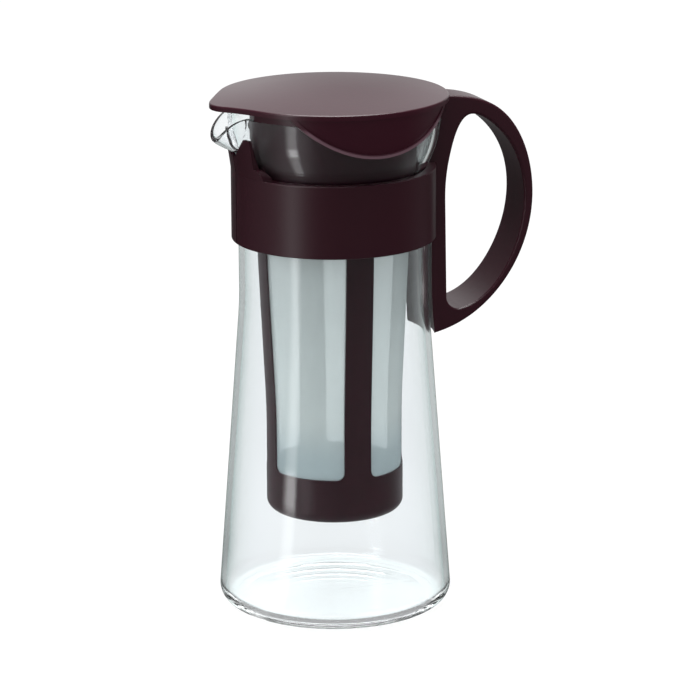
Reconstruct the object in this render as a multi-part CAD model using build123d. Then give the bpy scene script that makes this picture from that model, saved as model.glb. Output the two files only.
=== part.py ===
from build123d import *
import os

os.makedirs("parts", exist_ok=True)

# Cold brew coffee maker of about 600 ml, in millimetres. The origin is the centre of the
# jug's foot, +Z is up, the spout points along -X and the handle along +X.

# Glass jug: a tall cone, a straight neck, a waist and a flared bowl with a spout.
foot_r = 46.5  # radius of the cone where it meets the table plane, before rounding
foot_corner_r = 6.5
foot_ring_r = 35.0  # the jug stands outside this radius
punt_h = 0.9  # rise of the underside at its centre
shoulder_z = 122.0
shoulder_blend_r = 110.0
neck_r = 37.2
neck_h = 48.2  # shoulder to waist
neck_turn_h = 5.0  # the neck turns in this far below the waist
neck_turn_r = 5.0
waist_r = 33.0  # before rounding
waist_fillet_r = 5.0
bowl_turn_h = 14.0  # the bowl stands up above this height over the waist
bowl_turn_r = 40.1
bowl_fillet_r = 40.0
bowl_h = 29.1  # waist to rim
rim_r = 41.6
glass_wall = 2.3
glass_floor = 3.2

# Pouring spout, blown out of the bowl. Its lip dips below the rim.
lip_reach = 48.8
lip_drop = 10.2
lip_root = 38.6  # distance from the axis where the rim starts to fall
lip_bow = 1.4  # the rim bows out by this on its way down to the lip
spout_half_w = 14.0
spout_wall = 1.7

# Collar band that grips the neck, moulded in one piece with the handle.
band_h = 28.3
band_over_waist = 6.1
band_wall = 2.7
band_bead = 2.6  # depth of the bead that fills the waist, and keeps the band up
band_edge_r = 0.5
band_split = 0.6  # the ends of the band meet under the spout
glass_fit = 0.2  # between the moulding and the glass
horn_h = 15.1  # two points that stand above the band and hold the spout between them
horn_tip_y = (11.2, 14.6)
horn_foot_y = 2.2
horn_root_h = 6.8  # bottom of the notch, above the band
horn_flare = 2.6
horn_inset = 0.4
horn_fillet_r = 4.0

# Handle: a wide flat strap that springs from a spine behind the glass.
spine_face = 6.1  # outer face of the spine, beyond the neck
spine_gap = 1.3  # between the spine and the glass
grip_root = 9.0  # the strap is drawn this far inside the neck, and the jug's form is cut from it
grip_reach = 43.2
grip_drop = 63.2  # waist to the foot of the handle
grip_rise = 2.9  # rim to its highest point
grip_w_low = 24.0
grip_w_top = 16.0
grip_edge_r = 1.0
grip_corner_r = 5.0

# Lid: a shallow dome with a beak over the spout and a grip flap on each side.
lid_overhang = 3.2  # past the rim
beak_overhang = 0.8  # past the lip
beak_r = 15.0
lid_wall = 2.0
lid_crown = 3.5  # rise of the dome over its edge
lid_over_rim = 5.2  # top edge of the lid above the rim
lid_edge_r = 0.7
lid_rest_gap = 0.1
seat_w = 1.8
seat_inset = 0.1  # from the outside of the rim
seat_gap_deg = 48.0  # the seat ring is open here, for pouring
flap_drop = 12.1  # lowest point of the flaps below the rim
flap_arc_r = 43.0
flap_shift = 3.5  # the flaps are lowest a little towards the handle
flap_wall = 1.2
flap_bead_w = 1.4  # bead along the lower edge of the flaps, for the fingers
flap_bead_h = 0.8
flap_inset = 0.15  # between the top of the flaps and the edge of the lid
flap_fit = 0.35  # between the flaps and the rim

# Strainer: a cup that hangs in the waist by its collar, with four mesh windows.
strainer_fit = 0.5  # between the strainer and the waist
cup_r = 27.0
cup_corner_r = 4.0
cup_z = 38.3
taper_z = 80.0  # the strainer widens above this height
taper_h = 61.0
taper_play = 0.35  # the taper ends this much narrower than the throat
taper_blend_r = 300.0
throat_blend_r = 200.0
collar_r = 32.35
collar_h = 22.1
collar_drop = 0.2  # the collar's cone starts this far below the waist
collar_rise = 5.8  # height of the cone between strainer and collar
collar_blend_r = 6.0
strainer_wall = 1.7
strainer_floor = 2.0
post_w = 10.8
window_z = 56.3
window_top_gap = 6.0  # solid ring between the windows and the collar's cone
window_corner_r = 3.0
mesh_t = 0.35
mesh_inset = 0.6
mesh_hem = 3.0  # mesh held by the moulding above and below the windows

waist_z = shoulder_z + neck_h
rim_z = waist_z + bowl_h
band_top = waist_z + band_over_waist
band_low = band_top - band_h
lid_r = rim_r + lid_overhang
trim_h = 6.0  # forms run this far past the rim before they are trimmed
far = 120.0


def disc(r, low, h):
    """Upright cylinder whose bottom is at height low."""
    return Pos(0, 0, low) * Cylinder(r, h, align=(Align.CENTER, Align.CENTER, Align.MIN))


def flare(r, spread, low, h):
    """Upright cone of radius r at height low, and wider by spread at its top."""
    return Pos(0, 0, low) * Cone(r, r + spread, h, align=(Align.CENTER, Align.CENTER, Align.MIN))


def revolved(outline):
    """Solid of revolution about Z of a closed outline drawn as radius and height."""
    return revolve(Plane.XZ * make_face(outline), Axis.Z)


def side_prism(outline, half_w):
    """Prism along Y of a closed outline drawn in the plane of the spout and handle."""
    return extrude(Plane.XZ * make_face(outline), half_w, both=True)


def jug_form(grow, bottom):
    """The jug's outer form, solid, with its wall moved outwards by grow."""
    wall = FilletPolyline(
        (0, bottom),
        (foot_r + grow, bottom),
        (neck_r + grow, shoulder_z),
        (neck_r + grow, waist_z - neck_turn_h),
        (waist_r + grow, waist_z),
        (bowl_turn_r + grow, waist_z + bowl_turn_h),
        (rim_r + grow, rim_z),
        radius=[foot_corner_r + grow, shoulder_blend_r, neck_turn_r, waist_fillet_r, bowl_fillet_r],
    )
    top = rim_z + trim_h
    close = Polyline((rim_r + grow, rim_z), (rim_r + grow, top), (0, top), (0, bottom))
    return revolved(wall + close)


def spout_form(inset, lift):
    """The spout's outer form: round sections whose noses run out to the lip.

    Each section has its height over the lip, its nose's distance and its radius, as shares of
    the lip's drop, the lip's reach and the spout's half width.
    """
    top = (lip_drop + trim_h) / lip_drop
    shares = [(-0.6, 0.79, 0.30), (-0.3, 0.90, 0.38), (0, 1, 0.55), (0.38, 1.028, 0.74), (top, 1.028, 1.12)]
    rings = []
    for up, out, wide in shares:
        r = wide * spout_half_w
        z = rim_z - lip_drop + up * lip_drop + lift
        rings.append(Pos(r - out * lip_reach, 0, z) * Circle(r - inset))
    return loft(rings)


def rim_trim():
    """All that lies above the rim, which falls away along the spout to the lip."""
    fall = ThreePointArc(
        (-lip_root, rim_z),
        (-0.5 * (lip_root + lip_reach) - lip_bow, rim_z - 0.5 * lip_drop + lip_bow),
        (-lip_reach, rim_z - lip_drop),
    )
    rest = Polyline(
        (-lip_reach, rim_z - lip_drop),
        (-far, rim_z - lip_drop),
        (-far, rim_z + far),
        (far, rim_z + far),
        (far, rim_z),
        (-lip_root, rim_z),
    )
    return side_prism(fall + rest, far)


def glass_jug():
    outer = jug_form(0, 0) + spout_form(0, 0)
    inner = jug_form(-glass_wall, glass_floor) + spout_form(spout_wall, 0.4 * spout_wall)
    punt = ThreePointArc((0, punt_h), (0.5 * foot_ring_r, 0.75 * punt_h), (foot_ring_r, 0))
    hollow = revolved(punt + Polyline((foot_ring_r, 0), (0, 0), (0, punt_h)))
    return outer - inner - hollow - rim_trim()


def band():
    """Ring round the neck, with a bead inside that sits in the waist."""
    ring = disc(neck_r + band_wall, band_low, band_h)
    ring = fillet(ring.edges().filter_by(GeomType.CIRCLE), band_edge_r)
    return ring - disc(neck_r - band_bead, band_low, band_h)


def horns():
    """The two points beside the spout, cut from a cone that follows the bowl."""
    foot_z = band_top - band_wall
    cone = flare(neck_r + band_wall - horn_inset, horn_flare, foot_z, horn_h + band_wall)
    tip_in, tip_out = horn_tip_y
    spread = tip_out + horn_fillet_r
    outline = Polyline(
        (0, foot_z),
        (0, band_top + horn_root_h),
        (horn_foot_y, band_top + horn_root_h),
        (tip_in, band_top + horn_h),
        (tip_out, band_top + horn_h),
        (tip_out, band_top + horn_fillet_r),
    )
    root = RadiusArc((tip_out, band_top + horn_fillet_r), (spread, band_top), horn_fillet_r)
    close = Polyline((spread, band_top), (spread, foot_z), (0, foot_z))
    half = make_face(outline + root + close)
    both = half + mirror(half, Plane.YZ)
    shape = extrude(Plane.YZ * both, -far)
    return cone & shape


def grip_point(out, up):
    """A point of the handle's outline, as shares of its reach and of its two heights."""
    height = bowl_h if up > 0 else grip_drop
    return (neck_r + out * grip_reach, waist_z + up * height)


def grip():
    """Spine and strap in side view, then narrowed towards the top."""
    face_x = neck_r + spine_face
    back_x = neck_r - grip_root
    foot = (back_x, grip_point(0, -1)[1])
    top = (back_x, rim_z + grip_rise)
    outside = Spline(
        foot,
        grip_point(0.263, -0.933),
        grip_point(0.996, -0.202),
        grip_point(0.654, 0.892),
        top,
        tangents=[(1, 0), (-1, 0)],
        tangent_scalars=(1, 1),
    )
    plate = side_prism(outside + Line(top, foot), grip_w_low)

    spine_top = (face_x, grip_point(0, -0.156)[1])
    spine_low = (face_x, grip_point(0, -0.848)[1])
    inside = Spline(
        spine_top,
        grip_point(0.204, 0.348),
        grip_point(0.396, 0.811),
        grip_point(0.604, 0.673),
        grip_point(0.797, -0.515),
        grip_point(0.27, -0.841),
        spine_low,
        tangents=[(0, 1), (-1, -0.06)],
        tangent_scalars=(1, 1),
    )
    window = make_face(inside + Line(spine_low, spine_top))
    window = fillet(window.vertices().sort_by_distance(spine_low)[0], grip_corner_r)
    plate -= extrude(Plane.XZ * window, far, both=True)

    low, high = foot[1] - trim_h, top[1] + trim_h
    rise = (high - low) / (top[1] - foot[1])
    spread = 0.25 * (grip_w_low - grip_w_top) * (rise - 1)
    taper = Polyline(
        (0.5 * grip_w_low + spread, low),
        (0.5 * grip_w_top - spread, high),
        (-0.5 * grip_w_top + spread, high),
        (-0.5 * grip_w_low - spread, low),
        close=True,
    )
    strap = plate & extrude(Plane.YZ * make_face(taper), far)
    sides = strap.faces().filter_by(lambda f: abs(f.normal_at().Y) > 0.9)
    free_edges = [e for f in sides for e in f.edges() if e.center().X > neck_r + spine_gap]
    strap = fillet(free_edges, grip_edge_r)
    return strap - jug_form(spine_gap, 0)


def handle_band():
    moulding = band() + horns() + grip()
    split = Pos(-far, 0, band_low - trim_h) * Box(
        far, band_split, band_h + horn_root_h + 2 * trim_h, align=(Align.MIN, Align.CENTER, Align.MIN)
    )
    return moulding - jug_form(glass_fit, 0) - spout_form(-glass_fit, 0) - split


def lid_plan():
    """Round disc drawn out to the beak by two straight tangents."""
    round_part = Circle(lid_r)
    beak = Pos(beak_r - lip_reach - beak_overhang, 0) * Circle(beak_r)
    return make_hull(round_part.edges() + beak.edges())


def lid():
    edge_z = rim_z + lid_over_rim
    dome_r = (lid_r**2 + lid_crown**2) / (2 * lid_crown)
    centre_z = edge_z + lid_crown - dome_r
    dome = Pos(0, 0, centre_z) * Sphere(dome_r)
    under = Pos(0, 0, centre_z) * Sphere(dome_r - lid_wall)
    plan = extrude(Pos(0, 0, edge_z - 2 * lid_wall) * lid_plan(), 2 * lid_wall + lid_crown)
    plate = (plan & dome) - under
    rim_edges = plate.edges().filter_by(lambda e: e.center().Z > edge_z - 0.6 * lid_wall)
    plate = fillet(rim_edges, lid_edge_r)

    seat_r = rim_r - seat_inset
    seat_z = rim_z + lid_rest_gap
    seat = disc(seat_r, seat_z, lid_over_rim) - disc(seat_r - seat_w, seat_z, lid_over_rim)
    seat -= Rot(0, 0, 180 - 0.5 * seat_gap_deg) * Pos(0, 0, seat_z) * Cylinder(
        seat_r + 1, lid_over_rim, arc_size=seat_gap_deg, align=(Align.NONE, Align.NONE, Align.MIN)
    )
    core = Pos(0, 0, centre_z) * Sphere(dome_r - 0.5 * lid_wall)
    seat = seat & core

    flap_low = rim_z - flap_drop
    flap_h = edge_z - flap_low
    inner_low = rim_r + flap_fit
    lean = lid_r - flap_inset - flap_wall - inner_low
    hollow = flare(inner_low, lean, flap_low, flap_h)
    skirt = flare(inner_low + flap_wall, lean, flap_low, flap_h) - hollow
    bead = flare(inner_low + flap_wall + flap_bead_h, lean, flap_low, flap_h) - hollow
    bead &= disc(lid_r - flap_inset, flap_low, flap_h)
    arc = Pos(flap_shift, 0, flap_low + flap_arc_r) * Rot(90, 0, 0)
    flap_side = arc * Cylinder(flap_arc_r, far)
    bead -= arc * Cylinder(flap_arc_r - flap_bead_w, far)
    flaps = (skirt + bead) & flap_side & core
    return plate + seat + flaps


def strainer_form(grow, bottom, top):
    """The strainer's outer form, solid, with its wall moved outwards by grow."""
    throat_r = waist_r - glass_wall - strainer_fit
    collar_z = waist_z - collar_drop
    outline = FilletPolyline(
        (0, bottom),
        (cup_r + grow, bottom),
        (cup_r + grow, taper_z),
        (throat_r - taper_play + grow, taper_z + taper_h),
        (throat_r + grow, collar_z),
        (collar_r + grow, collar_z + collar_rise),
        (collar_r + grow, top),
        radius=[cup_corner_r + grow, taper_blend_r, throat_blend_r, collar_blend_r, collar_blend_r],
    )
    return revolved(outline + Polyline((collar_r + grow, top), (0, top), (0, bottom)))


def window_tool(top):
    """One window: a quarter prism between two posts, with rounded corners."""
    block = Pos(0.5 * post_w, 0.5 * post_w, window_z) * Box(
        far, far, top - window_z, align=(Align.MIN, Align.MIN, Align.MIN)
    )
    level = block.edges().filter_by(Axis.Z, reverse=True)
    inner = [e for e in level if min(abs(e.center().X), abs(e.center().Y)) < post_w]
    return fillet(inner, window_corner_r)


def strainer():
    collar_top = waist_z - collar_drop + collar_rise + collar_h
    window_top = waist_z - window_top_gap
    shell = strainer_form(0, cup_z, collar_top)
    shell -= strainer_form(-strainer_wall, cup_z + strainer_floor, collar_top)
    sleeve = strainer_form(-mesh_inset, cup_z, collar_top)
    sleeve -= strainer_form(-mesh_inset - mesh_t, cup_z, collar_top)
    sleeve_z = window_z - mesh_hem
    sleeve_h = window_top + mesh_hem - sleeve_z
    sleeve &= disc(2 * collar_r, sleeve_z, sleeve_h)
    frame = shell - sleeve
    for turn in range(4):
        frame -= Rot(0, 0, 90 * turn) * window_tool(window_top)
    return frame, sleeve


strainer_frame, strainer_mesh = strainer()
for name, shape in {
    "glass_jug": glass_jug(),
    "handle_band": handle_band(),
    "lid": lid(),
    "strainer_frame": strainer_frame,
    "strainer_mesh": strainer_mesh,
}.items():
    export_step(shape, f"parts/{name}.step")
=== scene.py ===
from math import atan2, cos, pi, radians, sin

import bpy
from mathutils import Matrix, Vector

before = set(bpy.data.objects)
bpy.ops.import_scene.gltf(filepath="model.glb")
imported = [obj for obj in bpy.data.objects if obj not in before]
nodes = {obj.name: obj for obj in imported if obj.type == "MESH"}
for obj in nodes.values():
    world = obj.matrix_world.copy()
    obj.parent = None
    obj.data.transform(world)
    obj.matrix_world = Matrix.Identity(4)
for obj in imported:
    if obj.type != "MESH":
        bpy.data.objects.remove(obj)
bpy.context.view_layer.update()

bpy.ops.object.select_all(action="DESELECT")
scene = bpy.context.scene

# ---------------------------------------------------------------------------------------------
# Glass jug. Clear borosilicate glass blown in a mould, one wall from foot to rim, with its spout
# drawn out while hot. Looked at along the wall it turns grey-green; straight through, it has
# hardly a colour. Towards its outline its colour is also darkened by painted shade.
# ---------------------------------------------------------------------------------------------
GLASS_IOR = 1.47
GLASS_TINTS_AND_EDGE_SHADE = (  # by how far the wall turns away from the eye: its own grey-green, and painted shade at the outline
    (0.00, (0.935, 0.955, 0.965, 1.0)),
    (0.35, (0.94, 0.965, 0.98, 1.0)),
    (0.60, (0.92, 0.965, 0.965, 1.0)),
    (0.92, (0.55, 0.72, 0.69, 1.0)),
)
GLASS_SHADE = (0.94, 0.96, 0.95, 1.0)  # what a wall lets through of a lamp's light


class Maths:
    """A node's output, with Python's operators as Math nodes."""

    def __init__(self, paint, socket):
        self.paint = paint
        self.socket = socket

    def _do(self, operation, *values):
        return self.paint.node("ShaderNodeMath", {"operation": operation}, dict(enumerate(values)))

    def __add__(self, other):
        return self._do("ADD", self, other)

    def __sub__(self, other):
        return self._do("SUBTRACT", self, other)

    def __rsub__(self, other):
        return self._do("SUBTRACT", other, self)

    def __mul__(self, other):
        return self._do("MULTIPLY", self, other)

    __radd__ = __add__
    __rmul__ = __mul__


class Paint:
    """The nodes of a material or of the world, added one call at a time."""

    def __init__(self, owner):
        self.owner = owner
        owner.use_nodes = True
        self.tree = owner.node_tree
        self.tree.nodes.clear()

    def node(self, kind, settings=None, inputs=None, output=0):
        made = self.tree.nodes.new(kind)
        for key, value in (settings or {}).items():
            if key == "stops":
                for place, colour in value[1:-1]:
                    made.color_ramp.elements.new(place)
                for stop, (place, colour) in zip(made.color_ramp.elements, value):
                    stop.position, stop.color = place, colour
            else:
                setattr(made, key, value)
        for key, value in (inputs or {}).items():
            if isinstance(value, Maths):
                self.tree.links.new(value.socket, made.inputs[key])
            else:
                made.inputs[key].default_value = value
        return Maths(self, made.outputs[output]) if made.outputs else None


def new_paint(name):
    return Paint(bpy.data.materials.new(name))


def dress(piece, paint):
    piece.data.materials.clear()
    piece.data.materials.append(paint.owner)


def clear_glass():
    paint = new_paint("clear_glass")
    facing = paint.node("ShaderNodeLayerWeight", {}, {"Blend": 0.5}, "Facing")
    tint_and_edge_shade = paint.node("ShaderNodeValToRGB", {"stops": GLASS_TINTS_AND_EDGE_SHADE}, {"Fac": facing}, "Color")
    glass = paint.node(
        "ShaderNodeBsdfPrincipled",
        {},
        {"Base Color": tint_and_edge_shade, "Roughness": 0.0, "IOR": GLASS_IOR, "Transmission Weight": 1.0},
    )
    shade = paint.node("ShaderNodeBsdfTransparent", {}, {"Color": GLASS_SHADE})
    lamp_ray = paint.node("ShaderNodeLightPath", {}, {}, "Is Shadow Ray")
    surface = paint.node("ShaderNodeMixShader", {}, {0: lamp_ray, 1: glass, 2: shade})
    paint.node("ShaderNodeOutputMaterial", {}, {"Surface": surface})
    return paint


dress(nodes["glass_jug"], clear_glass())

# ---------------------------------------------------------------------------------------------
# Handle band. Collar, horns, spine and strap are one moulding of dark brown polypropylene, sprung
# round the neck. Its skin is satin, with the faint unevenness of a moulded surface.
# ---------------------------------------------------------------------------------------------
BROWN = (0.0215, 0.0018, 0.0062, 1.0)
BROWN_WORN = (0.0265, 0.0030, 0.0084, 1.0)
BROWN_PAINTED_HIGHLIGHT = (0.105, 0.056, 0.072, 1.0)  # painted highlight along the beads of the lid's flaps
BROWN_IOR = 1.49
CLOUD_SCALE = 28.0  # worn patches in a metre
CLOUD_ROUGHNESS = 0.06  # how much rougher they are
SKIN_SCALE = 900.0  # grains of the moulded skin in a metre
SKIN_DEPTH = 0.0002  # of the bump that they make


def toned(colour, painted_light):
    return [painted_light * part for part in colour[:3]] + [1.0]


def brown_plastic(name, roughness, painted_light=1.0, painted_highlight=None):
    """Moulded skin, with a paler highlight painted in where the mask from the last argument lies,
    if one is given.
    """
    paint = new_paint(name)
    place = paint.node("ShaderNodeTexCoord", {}, {}, "Object")
    cloud = paint.node(
        "ShaderNodeTexNoise", {}, {"Vector": place, "Scale": CLOUD_SCALE, "Detail": 3.0}, "Fac"
    )
    grain = paint.node(
        "ShaderNodeTexNoise", {}, {"Vector": place, "Scale": SKIN_SCALE, "Detail": 2.0}, "Fac"
    )
    # the worn patches are real; the factor on both browns is painted light, above 1 only on the lid
    wear_and_painted_light = {0: cloud, 6: toned(BROWN, painted_light), 7: toned(BROWN_WORN, painted_light)}
    colour = paint.node("ShaderNodeMix", {"data_type": "RGBA"}, wear_and_painted_light, 2)
    # painted highlight: a paler brown mixed in where the mask lies
    if painted_highlight:
        pale = {0: painted_highlight(paint, place), 6: colour, 7: BROWN_PAINTED_HIGHLIGHT}
        colour = paint.node("ShaderNodeMix", {"data_type": "RGBA"}, pale, 2)
    bump = paint.node(
        "ShaderNodeBump", {}, {"Height": grain, "Strength": 0.10, "Distance": SKIN_DEPTH}
    )
    skin = paint.node(
        "ShaderNodeBsdfPrincipled",
        {},
        {
            "Base Color": colour,
            "Roughness": roughness + CLOUD_ROUGHNESS * cloud,
            "IOR": BROWN_IOR,
            "Normal": bump,
        },
    )
    paint.node("ShaderNodeOutputMaterial", {}, {"Surface": skin})
    return paint


dress(nodes["handle_band"], brown_plastic("brown_handle", roughness=0.32))

# ---------------------------------------------------------------------------------------------
# Strainer frame. Collar, four posts and the closed cup, moulded in the same brown plastic. It
# hangs loose in the waist of the jug.
# ---------------------------------------------------------------------------------------------
dress(nodes["strainer_frame"], brown_plastic("brown_strainer", roughness=0.36))

# ---------------------------------------------------------------------------------------------
# Strainer mesh. Fine woven polyester, moulded into the frame behind its four windows. The threads
# scatter light, and the gaps between them let it through.
# ---------------------------------------------------------------------------------------------
THREAD_PITCH = 0.0004  # of the threads that go round
THREADS_ROUND = 440  # upright threads
THREAD_COVER = 0.43  # share of the mesh that is thread
COVER_SWING = 0.10  # how far that goes up on a thread, and down beside it
MESH_GREY = (0.90, 0.98, 0.975, 1.0)
MESH_PAINTED_SHADE = (0.66, 0.78, 0.81, 1.0)  # painted shade just above the cup, where less light gets in
MESH_DIM, MESH_LIT = 0.060, 0.082  # heights: painted shade below the first, none above the second


def part_of(paint, place, axis):
    return paint.node("ShaderNodeSeparateXYZ", {}, {"Vector": place}, axis)


def angle(paint, across, along):
    return paint.node("ShaderNodeMath", {"operation": "ARCTAN2"}, {0: across, 1: along})


def smooth_step(paint, value, low, high, before, after):
    """A value that goes smoothly from before to after while another goes from low to high."""
    return paint.node(
        "ShaderNodeMapRange",
        {"interpolation_type": "SMOOTHSTEP"},
        {"Value": value, "From Min": low, "From Max": high, "To Min": before, "To Max": after},
    )


def woven_mesh():
    paint = new_paint("woven_mesh")
    place = paint.node("ShaderNodeTexCoord", {}, {}, "Object")
    turn = angle(paint, part_of(paint, place, "Y"), part_of(paint, place, "X"))
    up = part_of(paint, place, "Z")
    warp = paint.node("ShaderNodeMath", {"operation": "SINE"}, {0: turn * THREADS_ROUND})
    rows = up * (2 * pi / THREAD_PITCH)
    weft = paint.node("ShaderNodeMath", {"operation": "SINE"}, {0: rows})
    cover = THREAD_COVER + COVER_SWING * warp + COVER_SWING * weft
    # painted shade: the mesh's colour darkens towards the cup
    painted_shade = smooth_step(paint, up, MESH_DIM, MESH_LIT, 1.0, 0.0)
    shades = {0: painted_shade, 6: MESH_GREY, 7: MESH_PAINTED_SHADE}
    colour = paint.node("ShaderNodeMix", {"data_type": "RGBA"}, shades, 2)
    thread = paint.node(
        "ShaderNodeBsdfPrincipled", {}, {"Base Color": colour, "Roughness": 0.6, "IOR": 1.5}
    )
    gap = paint.node("ShaderNodeBsdfTransparent", {}, {"Color": (1, 1, 1, 1)})
    surface = paint.node("ShaderNodeMixShader", {}, {0: cover, 1: gap, 2: thread})
    paint.node("ShaderNodeOutputMaterial", {}, {"Surface": surface})
    return paint


dress(nodes["strainer_mesh"], woven_mesh())

# ---------------------------------------------------------------------------------------------
# Lid. A shallow dome with a beak and two grip flaps, moulded in the same brown plastic. It lies
# loose on the rim, and its top is smoother than the handle. Its brown is painted a little lighter
# for the light that its top catches, and a highlight is painted along the beads of its flaps.
# ---------------------------------------------------------------------------------------------
LID_PAINTED_LIGHT = 1.12  # painted light: the lid's brown is made lighter for the light that its top catches from above
FLAP_ARC = 0.043  # radius of the flaps' lower edge
FLAP_SHIFT = 0.0035  # from the axis to the middle of that arc
FLAP_LOW = 0.1872  # lowest point of the flaps
HIGHLIGHT_W = 0.0015  # width of the painted highlight along the flaps' lower edge, half of it fading
HIGHLIGHT_FULL, HIGHLIGHT_END = 0.010, 0.0125  # heights over the lowest point where the painted highlight is full, and where it ends


def painted_highlight_edge(paint, place):
    """Mask of the highlight painted along the beads of the flaps."""
    x = part_of(paint, place, "X") - FLAP_SHIFT
    z = part_of(paint, place, "Z") - (FLAP_LOW + FLAP_ARC)
    out = paint.node("ShaderNodeMath", {"operation": "SQRT"}, {0: x * x + z * z})
    low = smooth_step(paint, z, HIGHLIGHT_END - FLAP_ARC, HIGHLIGHT_FULL - FLAP_ARC, 0.0, 1.0)
    edge = smooth_step(paint, out, FLAP_ARC - HIGHLIGHT_W, FLAP_ARC - 0.5 * HIGHLIGHT_W, 0.0, 1.0)
    return low * edge


dress(nodes["lid"], brown_plastic("brown_lid", roughness=0.26, painted_light=LID_PAINTED_LIGHT, painted_highlight=painted_highlight_edge))

# ---------------------------------------------------------------------------------------------
# Camera. It stands 1.3 m from the jug and looks a little down on it, with the handle to the
# right. Its lens is long, so upright lines hardly run together.
# ---------------------------------------------------------------------------------------------
CAMERA_PLACE = Vector((-0.4512, -1.2397, 0.4626))
CAMERA_TURN = radians(20.0)  # how far its view is turned from +Y towards +X
CAMERA_DOWN = radians(15.297)
CAMERA_ROLL = radians(0.257)
FOCAL_PX = 3472.7  # focal length, in pixels of the picture
CENTRE_PX = 334.22  # the column of pixels that lies straight ahead of the camera
PICTURE_PX = 700
TO_CAMERA = (-sin(CAMERA_TURN), -cos(CAMERA_TURN), 0.0)
TO_LEFT = (-cos(CAMERA_TURN), sin(CAMERA_TURN), 0.0)

camera = bpy.data.cameras.new("camera")
camera.lens = FOCAL_PX / PICTURE_PX * camera.sensor_width
camera.clip_end = 50.0
viewer = bpy.data.objects.new("camera", camera)
scene.collection.objects.link(viewer)
scene.camera = viewer
side_turn = atan2(PICTURE_PX / 2 - CENTRE_PX, FOCAL_PX)
viewer.matrix_world = (
    Matrix.Translation(CAMERA_PLACE)
    @ Matrix.Rotation(-CAMERA_TURN, 4, "Z")
    @ Matrix.Rotation(pi / 2 - CAMERA_DOWN, 4, "X")
    @ Matrix.Rotation(-side_turn, 4, "Y")
    @ Matrix.Rotation(-CAMERA_ROLL, 4, "Z")
)

# ---------------------------------------------------------------------------------------------
# Studio. A white table, so wide that no edge shows, in a room that is dark in front of the jug
# and white behind it, with a bright panel to the left. Only shiny faces mirror that room. Seen
# straight it is white, and through the glass it is greyer to the right.
# ---------------------------------------------------------------------------------------------
DARK_FRONT = 0.02  # the room on the camera's side
BACKDROP_FROM, BACKDROP_FULL = radians(135), radians(165)  # turns away from the camera
PANEL_FROM, PANEL_FULL, PANEL_TO = radians(40.5), radians(47), radians(56)  # to the left
PANEL_SOFT = radians(2.5)  # half the width of the panel's near edge
FILL_FROM, FILL_FULL = radians(15), radians(40)  # a grey wall round the panel
FILL_FADE, FILL_TO = radians(60), radians(130)  # where it fades again
FILL_LIGHT = 0.20
RIGHT_FROM, RIGHT_FULL = radians(-80), radians(-110)  # and a darker one to the right
RIGHT_LIGHT = 0.09
VEIL_FROM, VEIL_FULL = radians(100), radians(150)
VEIL_FRONT, VEIL_BEHIND = 0.10, 0.50  # what the inside of the glass mirrors as well
INSIDE_LIGHT = 0.50  # what the rays meet that are thrown about in its wall
GREY_FROM, GREY_FULL, GREY_END = radians(8), radians(30), radians(130)
RIGHT_GREY = 0.66  # light beyond the glass, to the right of straight on


def part_along(paint, vector, direction):
    return paint.node(
        "ShaderNodeVectorMath", {"operation": "DOT_PRODUCT"}, {0: vector, 1: direction}, "Value"
    )


def depth(paint, kind, times=1):
    """1 for a ray that has met such a face that many times, and 0 for one that hasn't."""
    count = paint.node("ShaderNodeLightPath", {}, {}, kind + " Depth")
    return paint.node("ShaderNodeMath", {"operation": "GREATER_THAN"}, {0: count, 1: times - 0.5})


def mirrored_room(paint, heading, backdrop_light, panel_light):
    """How bright the room is in a direction, for the rays that a shiny face throws back."""
    turn = angle(paint, part_along(paint, heading, TO_LEFT), part_along(paint, heading, TO_CAMERA))
    away = paint.node("ShaderNodeMath", {"operation": "ABSOLUTE"}, {0: turn})
    backdrop = smooth_step(paint, away, BACKDROP_FROM, BACKDROP_FULL, 0.0, backdrop_light)
    panel = smooth_step(paint, turn, PANEL_FROM - PANEL_SOFT, PANEL_FROM + PANEL_SOFT, 0.0, 1.0)
    panel = panel * smooth_step(paint, turn, PANEL_FULL, PANEL_TO, panel_light, 0.0)
    fill = smooth_step(paint, turn, FILL_FROM, FILL_FULL, 0.0, 1.0)
    fill = fill * smooth_step(paint, turn, FILL_FADE, FILL_TO, FILL_LIGHT, 0.0)
    right = smooth_step(paint, turn, RIGHT_FULL, RIGHT_FROM, RIGHT_LIGHT, 0.0)
    veil = smooth_step(paint, away, VEIL_FROM, VEIL_FULL, VEIL_FRONT, VEIL_BEHIND)
    inside = veil * depth(paint, "Transmission") + INSIDE_LIGHT * depth(paint, "Glossy", 2)
    return DARK_FRONT + inside + panel + fill + right + backdrop


def seen_through(paint, to_left, onward):
    """How bright it is beyond the glass: white, and greyer to the right."""
    turn = angle(paint, 0.0 - to_left, onward)
    grey = smooth_step(paint, turn, GREY_FROM, GREY_FULL, 0.0, 1.0 - RIGHT_GREY)
    return 1.0 - grey * smooth_step(paint, turn, GREY_FULL, GREY_END, 1.0, 0.0)


def by_path(paint, clear, mirrored, spread):
    """Chooses by what the ray has met: glass or nothing, a shiny face, or a dull one."""
    glossy = depth(paint, "Glossy")
    dull = depth(paint, "Diffuse")
    return dull * spread + (1.0 - dull) * (glossy * mirrored + (1.0 - glossy) * clear)


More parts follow.
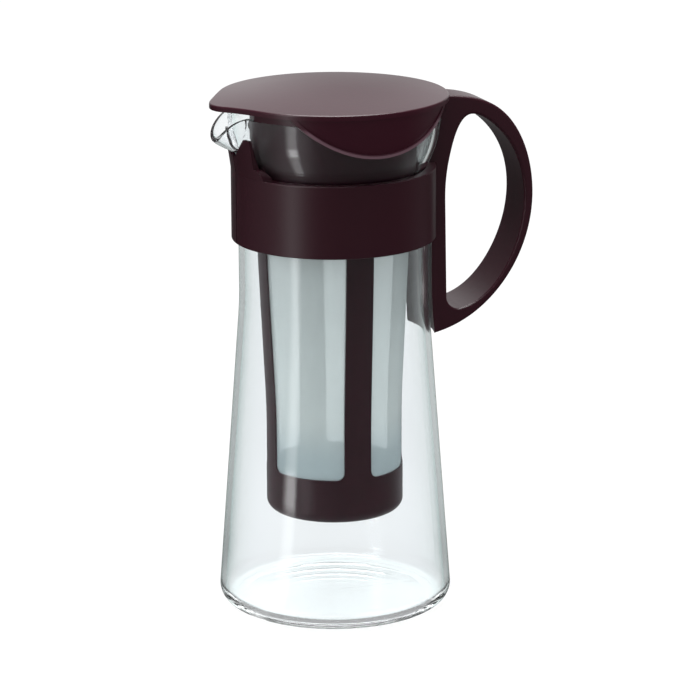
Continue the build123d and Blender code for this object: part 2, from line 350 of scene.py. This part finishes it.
# The table, which is the floor of the scene. Distances are measured from the jug's axis.
FLOOR_SIZE = 12.0
FLOOR_DROP = 0.0002  # below the foot of the jug
FLOOR_WHITE = (0.10, 0.10, 0.10, 1.0)  # the part of its white that takes light and shadow
FLOOR_GLOW = 0.84  # and the part that is white by itself
FAR_FROM, FAR_FULL, FAR_GLOW = 1.0, 2.0, 0.09  # more of it where the top lamp hardly reaches
FLOOR_SPREAD = 0.8  # what dull faces get from it
BACKDROP_NEAR, BACKDROP_FAR = 0.09, 0.30  # the backdrop's light in it
BACKDROP_NEAR_END, BACKDROP_FAR_FROM = 0.3, 1.5
PANEL_FOOT, PANEL_MIDDLE, PANEL_HIGH = 1.3, 4.1, 1.65  # the panel's light in it, going outwards
PANEL_FOOT_END, PANEL_MIDDLE_FROM = 0.29, 0.34
PANEL_MIDDLE_END, PANEL_HIGH_FROM = 0.40, 0.45
JUG_HALF = 0.046  # radius of the jug's foot
UNDER_GLOW, UNDER_FULL = 0.17, 0.9 * JUG_HALF  # light that the jug's floor gathers under it
FOOT_FRONT, FOOT_BEHIND = 0.42, 0.70  # light that the foot of the glass throws about
BEHIND_FROM, BEHIND_FULL = JUG_HALF, 1.6 * JUG_HALF  # measured from the foot's near edge
FOOT_FULL, FOOT_END = 1.2 * JUG_HALF, 2.5 * JUG_HALF  # how far out it finds that light

bpy.ops.mesh.primitive_grid_add(
    x_subdivisions=4, y_subdivisions=4, size=FLOOR_SIZE, location=(0, 0, -FLOOR_DROP)
)
floor = bpy.context.object
floor.name = "floor"
bpy.ops.object.transform_apply(location=True)


def light_as_seen(paint, place, middle, onward):
    """The table's own white, as the eye sees it past the jug or through its glass."""
    aside = part_along(paint, place, TO_LEFT)
    offset = paint.node("ShaderNodeMath", {"operation": "ABSOLUTE"}, {0: aside})
    outside = paint.node("ShaderNodeMath", {"operation": "MAXIMUM"}, {0: offset - JUG_HALF, 1: 0.0})
    side = paint.node("ShaderNodeMath", {"operation": "SIGN"}, {0: aside})
    beyond = seen_through(paint, outside * side, onward)
    bent = paint.node("ShaderNodeLightPath", {}, {}, "Is Transmission Ray")
    gathered = smooth_step(paint, middle, UNDER_FULL, JUG_HALF, UNDER_GLOW, 0.0)
    far_glow = smooth_step(paint, middle, FAR_FROM, FAR_FULL, 0.0, FAR_GLOW)
    return FLOOR_GLOW * (bent * beyond + (1.0 - bent)) + bent * gathered + far_glow


def light_as_mirrored(paint, place, middle, onward):
    """The room as the table shows it to shiny faces, and its light for the foot of the glass."""
    backdrop = smooth_step(
        paint, middle, BACKDROP_NEAR_END, BACKDROP_FAR_FROM, BACKDROP_NEAR, BACKDROP_FAR
    )
    panel = smooth_step(
        paint, middle, PANEL_FOOT_END, PANEL_MIDDLE_FROM, PANEL_FOOT, PANEL_MIDDLE
    )
    panel = smooth_step(paint, middle, PANEL_MIDDLE_END, PANEL_HIGH_FROM, panel, PANEL_HIGH)
    room = mirrored_room(paint, place, backdrop, panel)
    foot = smooth_step(paint, onward, BEHIND_FROM, BEHIND_FULL, FOOT_FRONT, FOOT_BEHIND)
    near = smooth_step(paint, middle, FOOT_FULL, FOOT_END, 1.0, 0.0)
    near = near * depth(paint, "Transmission")
    return (1.0 - near) * room + foot * near


def white_table():
    paint = new_paint("white_table")
    place = paint.node("ShaderNodeTexCoord", {}, {}, "Object")
    middle = paint.node("ShaderNodeVectorMath", {"operation": "LENGTH"}, {0: place}, "Value")
    onward = JUG_HALF - part_along(paint, place, TO_CAMERA)
    white = light_as_seen(paint, place, middle, onward)
    lit = paint.node("ShaderNodeBsdfDiffuse", {}, {"Color": FLOOR_WHITE})
    glow = paint.node("ShaderNodeEmission", {}, {"Color": (1, 1, 1, 1), "Strength": white})
    seen = paint.node("ShaderNodeAddShader", {}, {0: lit, 1: glow})
    strength = by_path(paint, 0.0, light_as_mirrored(paint, place, middle, onward), FLOOR_SPREAD)
    thrown = paint.node("ShaderNodeEmission", {}, {"Color": (1, 1, 1, 1), "Strength": strength})
    met = {0: depth(paint, "Glossy"), 1: depth(paint, "Diffuse")}
    bounced = paint.node("ShaderNodeMath", {"operation": "MAXIMUM"}, met)
    surface = paint.node("ShaderNodeMixShader", {}, {0: bounced, 1: seen, 2: thrown})
    paint.node("ShaderNodeOutputMaterial", {}, {"Surface": surface})
    return paint


dress(floor, white_table())

# The room. Its light is written by direction.
PANEL_LIGHT = 2.9
WALL_LIGHT = 0.86  # the backdrop over the table
ROOM_SPREAD = 0.95  # what dull faces get from it
UP_FROM, UP_FULL, UP_LIGHT = 0.05, 0.3, 0.35  # added for the rays that the glass sends up
SPOT_TURN = radians(1.5)  # straight behind the jug the backdrop is darker, low down
SPOT_CORE, SPOT_HALF = radians(1), radians(5)
SPOT_LOW, SPOT_HIGH = radians(18.2), radians(26)
SPOT_DARK = 0.56


def white_room(world):
    paint = Paint(world)
    heading = paint.node("ShaderNodeTexCoord", {}, {}, "Generated")
    to_left = part_along(paint, heading, TO_LEFT)
    onward = 0.0 - part_along(paint, heading, TO_CAMERA)
    bent = paint.node("ShaderNodeLightPath", {}, {}, "Is Transmission Ray")
    clear = bent * seen_through(paint, to_left, onward) + (1.0 - bent)
    height = part_of(paint, heading, "Z")
    turn = angle(paint, to_left, onward) + SPOT_TURN
    off_middle = paint.node("ShaderNodeMath", {"operation": "ABSOLUTE"}, {0: turn})
    spot = smooth_step(paint, off_middle, SPOT_CORE, SPOT_HALF, SPOT_DARK, 0.0)
    spot = spot * smooth_step(paint, height, sin(SPOT_LOW), sin(SPOT_HIGH), 1.0, 0.0)
    upwards = smooth_step(paint, height, UP_FROM, UP_FULL, 0.0, UP_LIGHT)
    mirrored = mirrored_room(paint, heading, WALL_LIGHT * (1.0 - spot), PANEL_LIGHT)
    mirrored = mirrored + upwards * depth(paint, "Transmission")
    strength = by_path(paint, clear, mirrored, ROOM_SPREAD)
    shine = paint.node("ShaderNodeBackground", {}, {"Color": (1, 1, 1, 1), "Strength": strength})
    paint.node("ShaderNodeOutputWorld", {}, {"Surface": shine})


scene.world = bpy.data.worlds.new("white_room")
white_room(scene.world)
scene.world.cycles.sampling_method = "NONE"

# ---------------------------------------------------------------------------------------------
# Lamps. Two soft panels: a tall dim one to the left of the jug, and a wide bright one that hangs
# over the table and throws a faint shadow on it.
# ---------------------------------------------------------------------------------------------


def soft_lamp(name, place, aim, width, height, power):
    lamp = bpy.data.lights.new(name, "AREA")
    lamp.shape = "RECTANGLE"
    lamp.size, lamp.size_y = width, height
    lamp.energy = power
    holder = bpy.data.objects.new(name, lamp)
    scene.collection.objects.link(holder)
    holder.location = place
    holder.rotation_euler = (Vector(aim) - Vector(place)).to_track_quat("-Z", "Y").to_euler()


soft_lamp("side_lamp", (-1.36, -0.58, 0.75), aim=(0, 0, 0.12), width=0.6, height=1.0, power=2.5)
soft_lamp("top_lamp", (0.1, 0.1, 1.9), aim=(0, 0, 0.1), width=1.6, height=1.6, power=66.0)

# Light is thrown about many times in the foot of the glass before it comes out again.
scene.cycles.glossy_bounces = 32
scene.cycles.transmission_bounces = 32
scene.cycles.max_bounces = 64
scene.view_settings.view_transform = "Standard"
